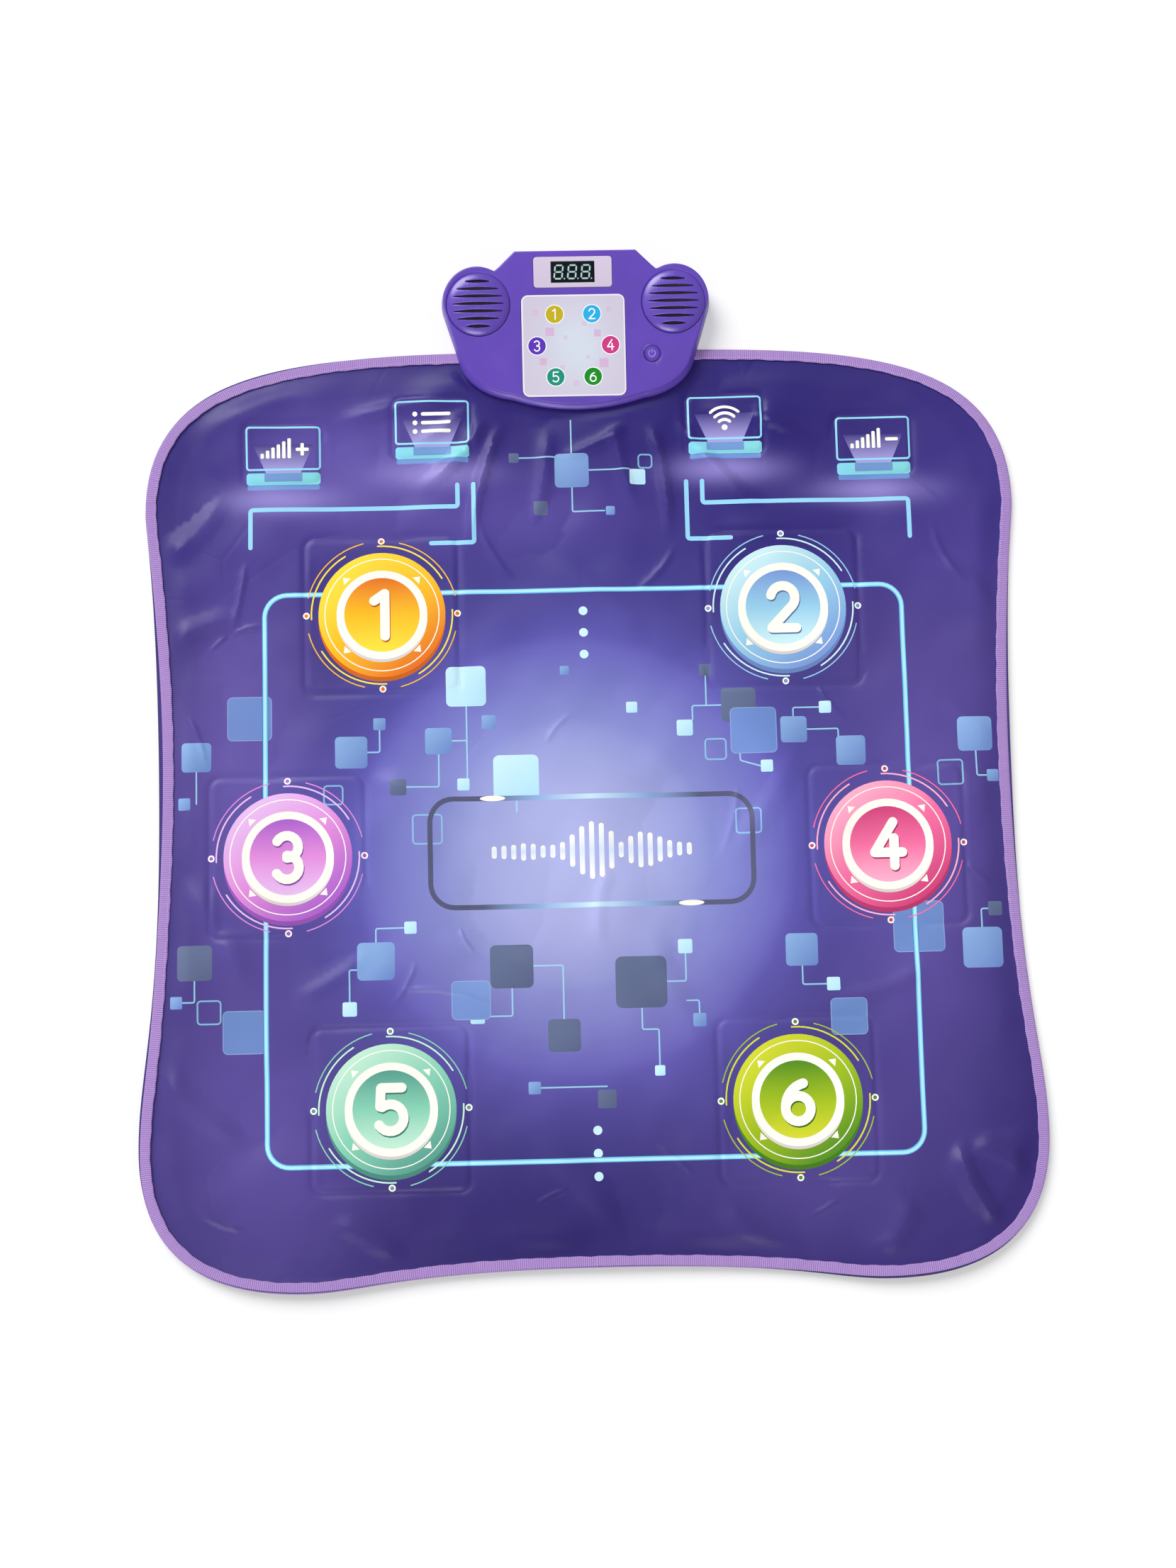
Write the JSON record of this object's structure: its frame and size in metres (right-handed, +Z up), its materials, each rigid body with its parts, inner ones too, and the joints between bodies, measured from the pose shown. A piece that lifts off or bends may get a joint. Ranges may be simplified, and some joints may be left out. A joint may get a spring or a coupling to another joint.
{
  "type": "electronic dance mat",
  "caption": "Foam-cored foot mat with numbered step pads, corner function pads, a taped edge and a moulded console with speakers, number display, power button and battery bay.",
  "frame": {"origin": "middle of the mat's underside, on the floor, halfway across and under the centre of the printed field", "axes": "+Z up from the floor, +Y from the player towards the console, +X to the player's right"},
  "size_m": [0.8806, 1.0256, 0.0354],
  "materials": {
    "anti_slip_grey": "matt, napped",
    "circuit_film": "clear film with printed traces",
    "foam_white": "closed-cell foam",
    "spacer_foam": "closed-cell foam",
    "printed_sheet": "printed satin vinyl",
    "pad_print": "printed satin vinyl on a stiff backing",
    "binding_tape": "woven tape",
    "console_purple": "fine moulded texture",
    "panel_pale": "satin print",
    "display_black": "smoked lens",
    "board_green": "solder mask",
    "speaker_black": "moulded",
    "cone_paper": "pressed paper",
    "magnet_steel": "plated",
    "cell_jacket": "plain sleeve",
    "contact_nickel": "nickel plated",
    "zinc_steel": "zinc plated",
    "screw_steel": "plated",
    "cable_amber": "flat flexible cable"
  },
  "bodies": {
    "mat": {"base_sheet": "anti_slip_grey", "battery_cell_1": "cell_jacket", "battery_cell_2": "cell_jacket", "battery_cell_3": "cell_jacket", "battery_cell_4": "cell_jacket", "battery_contacts_front": "contact_nickel", "battery_contacts_rear": "contact_nickel", "case_screw_front_left": "screw_steel", "case_screw_front_right": "screw_steel", "case_screw_rear_left": "screw_steel", "case_screw_rear_right": "screw_steel", "circuit_film": "circuit_film", "clamp_plate": "zinc_steel", "clamp_screw_1": "screw_steel", "clamp_screw_2": "screw_steel", "clamp_screw_3": "screw_steel", "display_bezel": "panel_pale", "display_board": "board_green", "edge_binding": "binding_tape", "flat_cable": "cable_amber", "foam_core": "foam_white", "indicator_panel": "panel_pale", "lower_shell": "console_purple", "main_board": "board_green", "mode_spacer": "spacer_foam", "number_display": "display_black", "speaker_cone_left": "cone_paper", "speaker_cone_right": "cone_paper", "speaker_frame_left": "speaker_black", "speaker_frame_right": "speaker_black", "speaker_grille_left": "console_purple", "speaker_grille_right": "console_purple", "speaker_magnet_left": "magnet_steel", "speaker_magnet_right": "magnet_steel", "step_1_spacer": "spacer_foam", "step_2_spacer": "spacer_foam", "step_3_spacer": "spacer_foam", "step_4_spacer": "spacer_foam", "step_5_spacer": "spacer_foam", "step_6_spacer": "spacer_foam", "top_sheet": "printed_sheet", "upper_shell": "console_purple", "volume_down_spacer": "spacer_foam", "volume_up_spacer": "spacer_foam", "wireless_spacer": "spacer_foam"},
    "step_1_pad": {"step_1_pad": "pad_print"},
    "step_2_pad": {"step_2_pad": "pad_print"},
    "step_3_pad": {"step_3_pad": "pad_print"},
    "step_4_pad": {"step_4_pad": "pad_print"},
    "step_5_pad": {"step_5_pad": "pad_print"},
    "step_6_pad": {"step_6_pad": "pad_print"},
    "volume_up_pad": {"volume_up_pad": "pad_print"},
    "mode_pad": {"mode_pad": "pad_print"},
    "wireless_pad": {"wireless_pad": "pad_print"},
    "volume_down_pad": {"volume_down_pad": "pad_print"},
    "power_button": {"power_button": "console_purple"},
    "battery_door": {"battery_door": "console_purple", "battery_door_screw": "screw_steel"}
  },
  "joints": [
    {"name": "step_1_press", "type": "slide", "parent": "mat", "child": "step_1_pad", "axis": [0, 0, -1], "range_m": [0, 0.0015], "stiffness_N_per_m": 8000, "springref_m": -0.0002, "deforming": ["step_1_spacer"]},
    {"name": "step_2_press", "type": "slide", "parent": "mat", "child": "step_2_pad", "axis": [0, 0, -1], "range_m": [0, 0.0015], "stiffness_N_per_m": 8000, "springref_m": -0.0002, "deforming": ["step_2_spacer"]},
    {"name": "step_3_press", "type": "slide", "parent": "mat", "child": "step_3_pad", "axis": [0, 0, -1], "range_m": [0, 0.0015], "stiffness_N_per_m": 8000, "springref_m": -0.0002, "deforming": ["step_3_spacer"]},
    {"name": "step_4_press", "type": "slide", "parent": "mat", "child": "step_4_pad", "axis": [0, 0, -1], "range_m": [0, 0.0015], "stiffness_N_per_m": 8000, "springref_m": -0.0002, "deforming": ["step_4_spacer"]},
    {"name": "step_5_press", "type": "slide", "parent": "mat", "child": "step_5_pad", "axis": [0, 0, -1], "range_m": [0, 0.0015], "stiffness_N_per_m": 8000, "springref_m": -0.0002, "deforming": ["step_5_spacer"]},
    {"name": "step_6_press", "type": "slide", "parent": "mat", "child": "step_6_pad", "axis": [0, 0, -1], "range_m": [0, 0.0015], "stiffness_N_per_m": 8000, "springref_m": -0.0002, "deforming": ["step_6_spacer"]},
    {"name": "volume_up_press", "type": "slide", "parent": "mat", "child": "volume_up_pad", "axis": [0, 0, -1], "range_m": [0, 0.0015], "stiffness_N_per_m": 4000, "springref_m": -0.0002, "deforming": ["volume_up_spacer"]},
    {"name": "mode_press", "type": "slide", "parent": "mat", "child": "mode_pad", "axis": [0, 0, -1], "range_m": [0, 0.0015], "stiffness_N_per_m": 4000, "springref_m": -0.0002, "deforming": ["mode_spacer"]},
    {"name": "wireless_press", "type": "slide", "parent": "mat", "child": "wireless_pad", "axis": [0, 0, -1], "range_m": [0, 0.0015], "stiffness_N_per_m": 4000, "springref_m": -0.0002, "deforming": ["wireless_spacer"]},
    {"name": "volume_down_press", "type": "slide", "parent": "mat", "child": "volume_down_pad", "axis": [0, 0, -1], "range_m": [0, 0.0015], "stiffness_N_per_m": 4000, "springref_m": -0.0002, "deforming": ["volume_down_spacer"]},
    {"name": "power_button_press", "type": "slide", "parent": "mat", "child": "power_button", "axis": [0, 0.1305, -0.9914], "range_m": [0, 0.0007], "stiffness_N_per_m": 1500, "springref_m": -0.0003},
    {"name": "battery_door_swing", "type": "hinge", "parent": "mat", "child": "battery_door", "pos_m": [-0.0328, 0.51925, 0], "axis": [0, 1, 0], "range_deg": [0, 85]}
  ]
}
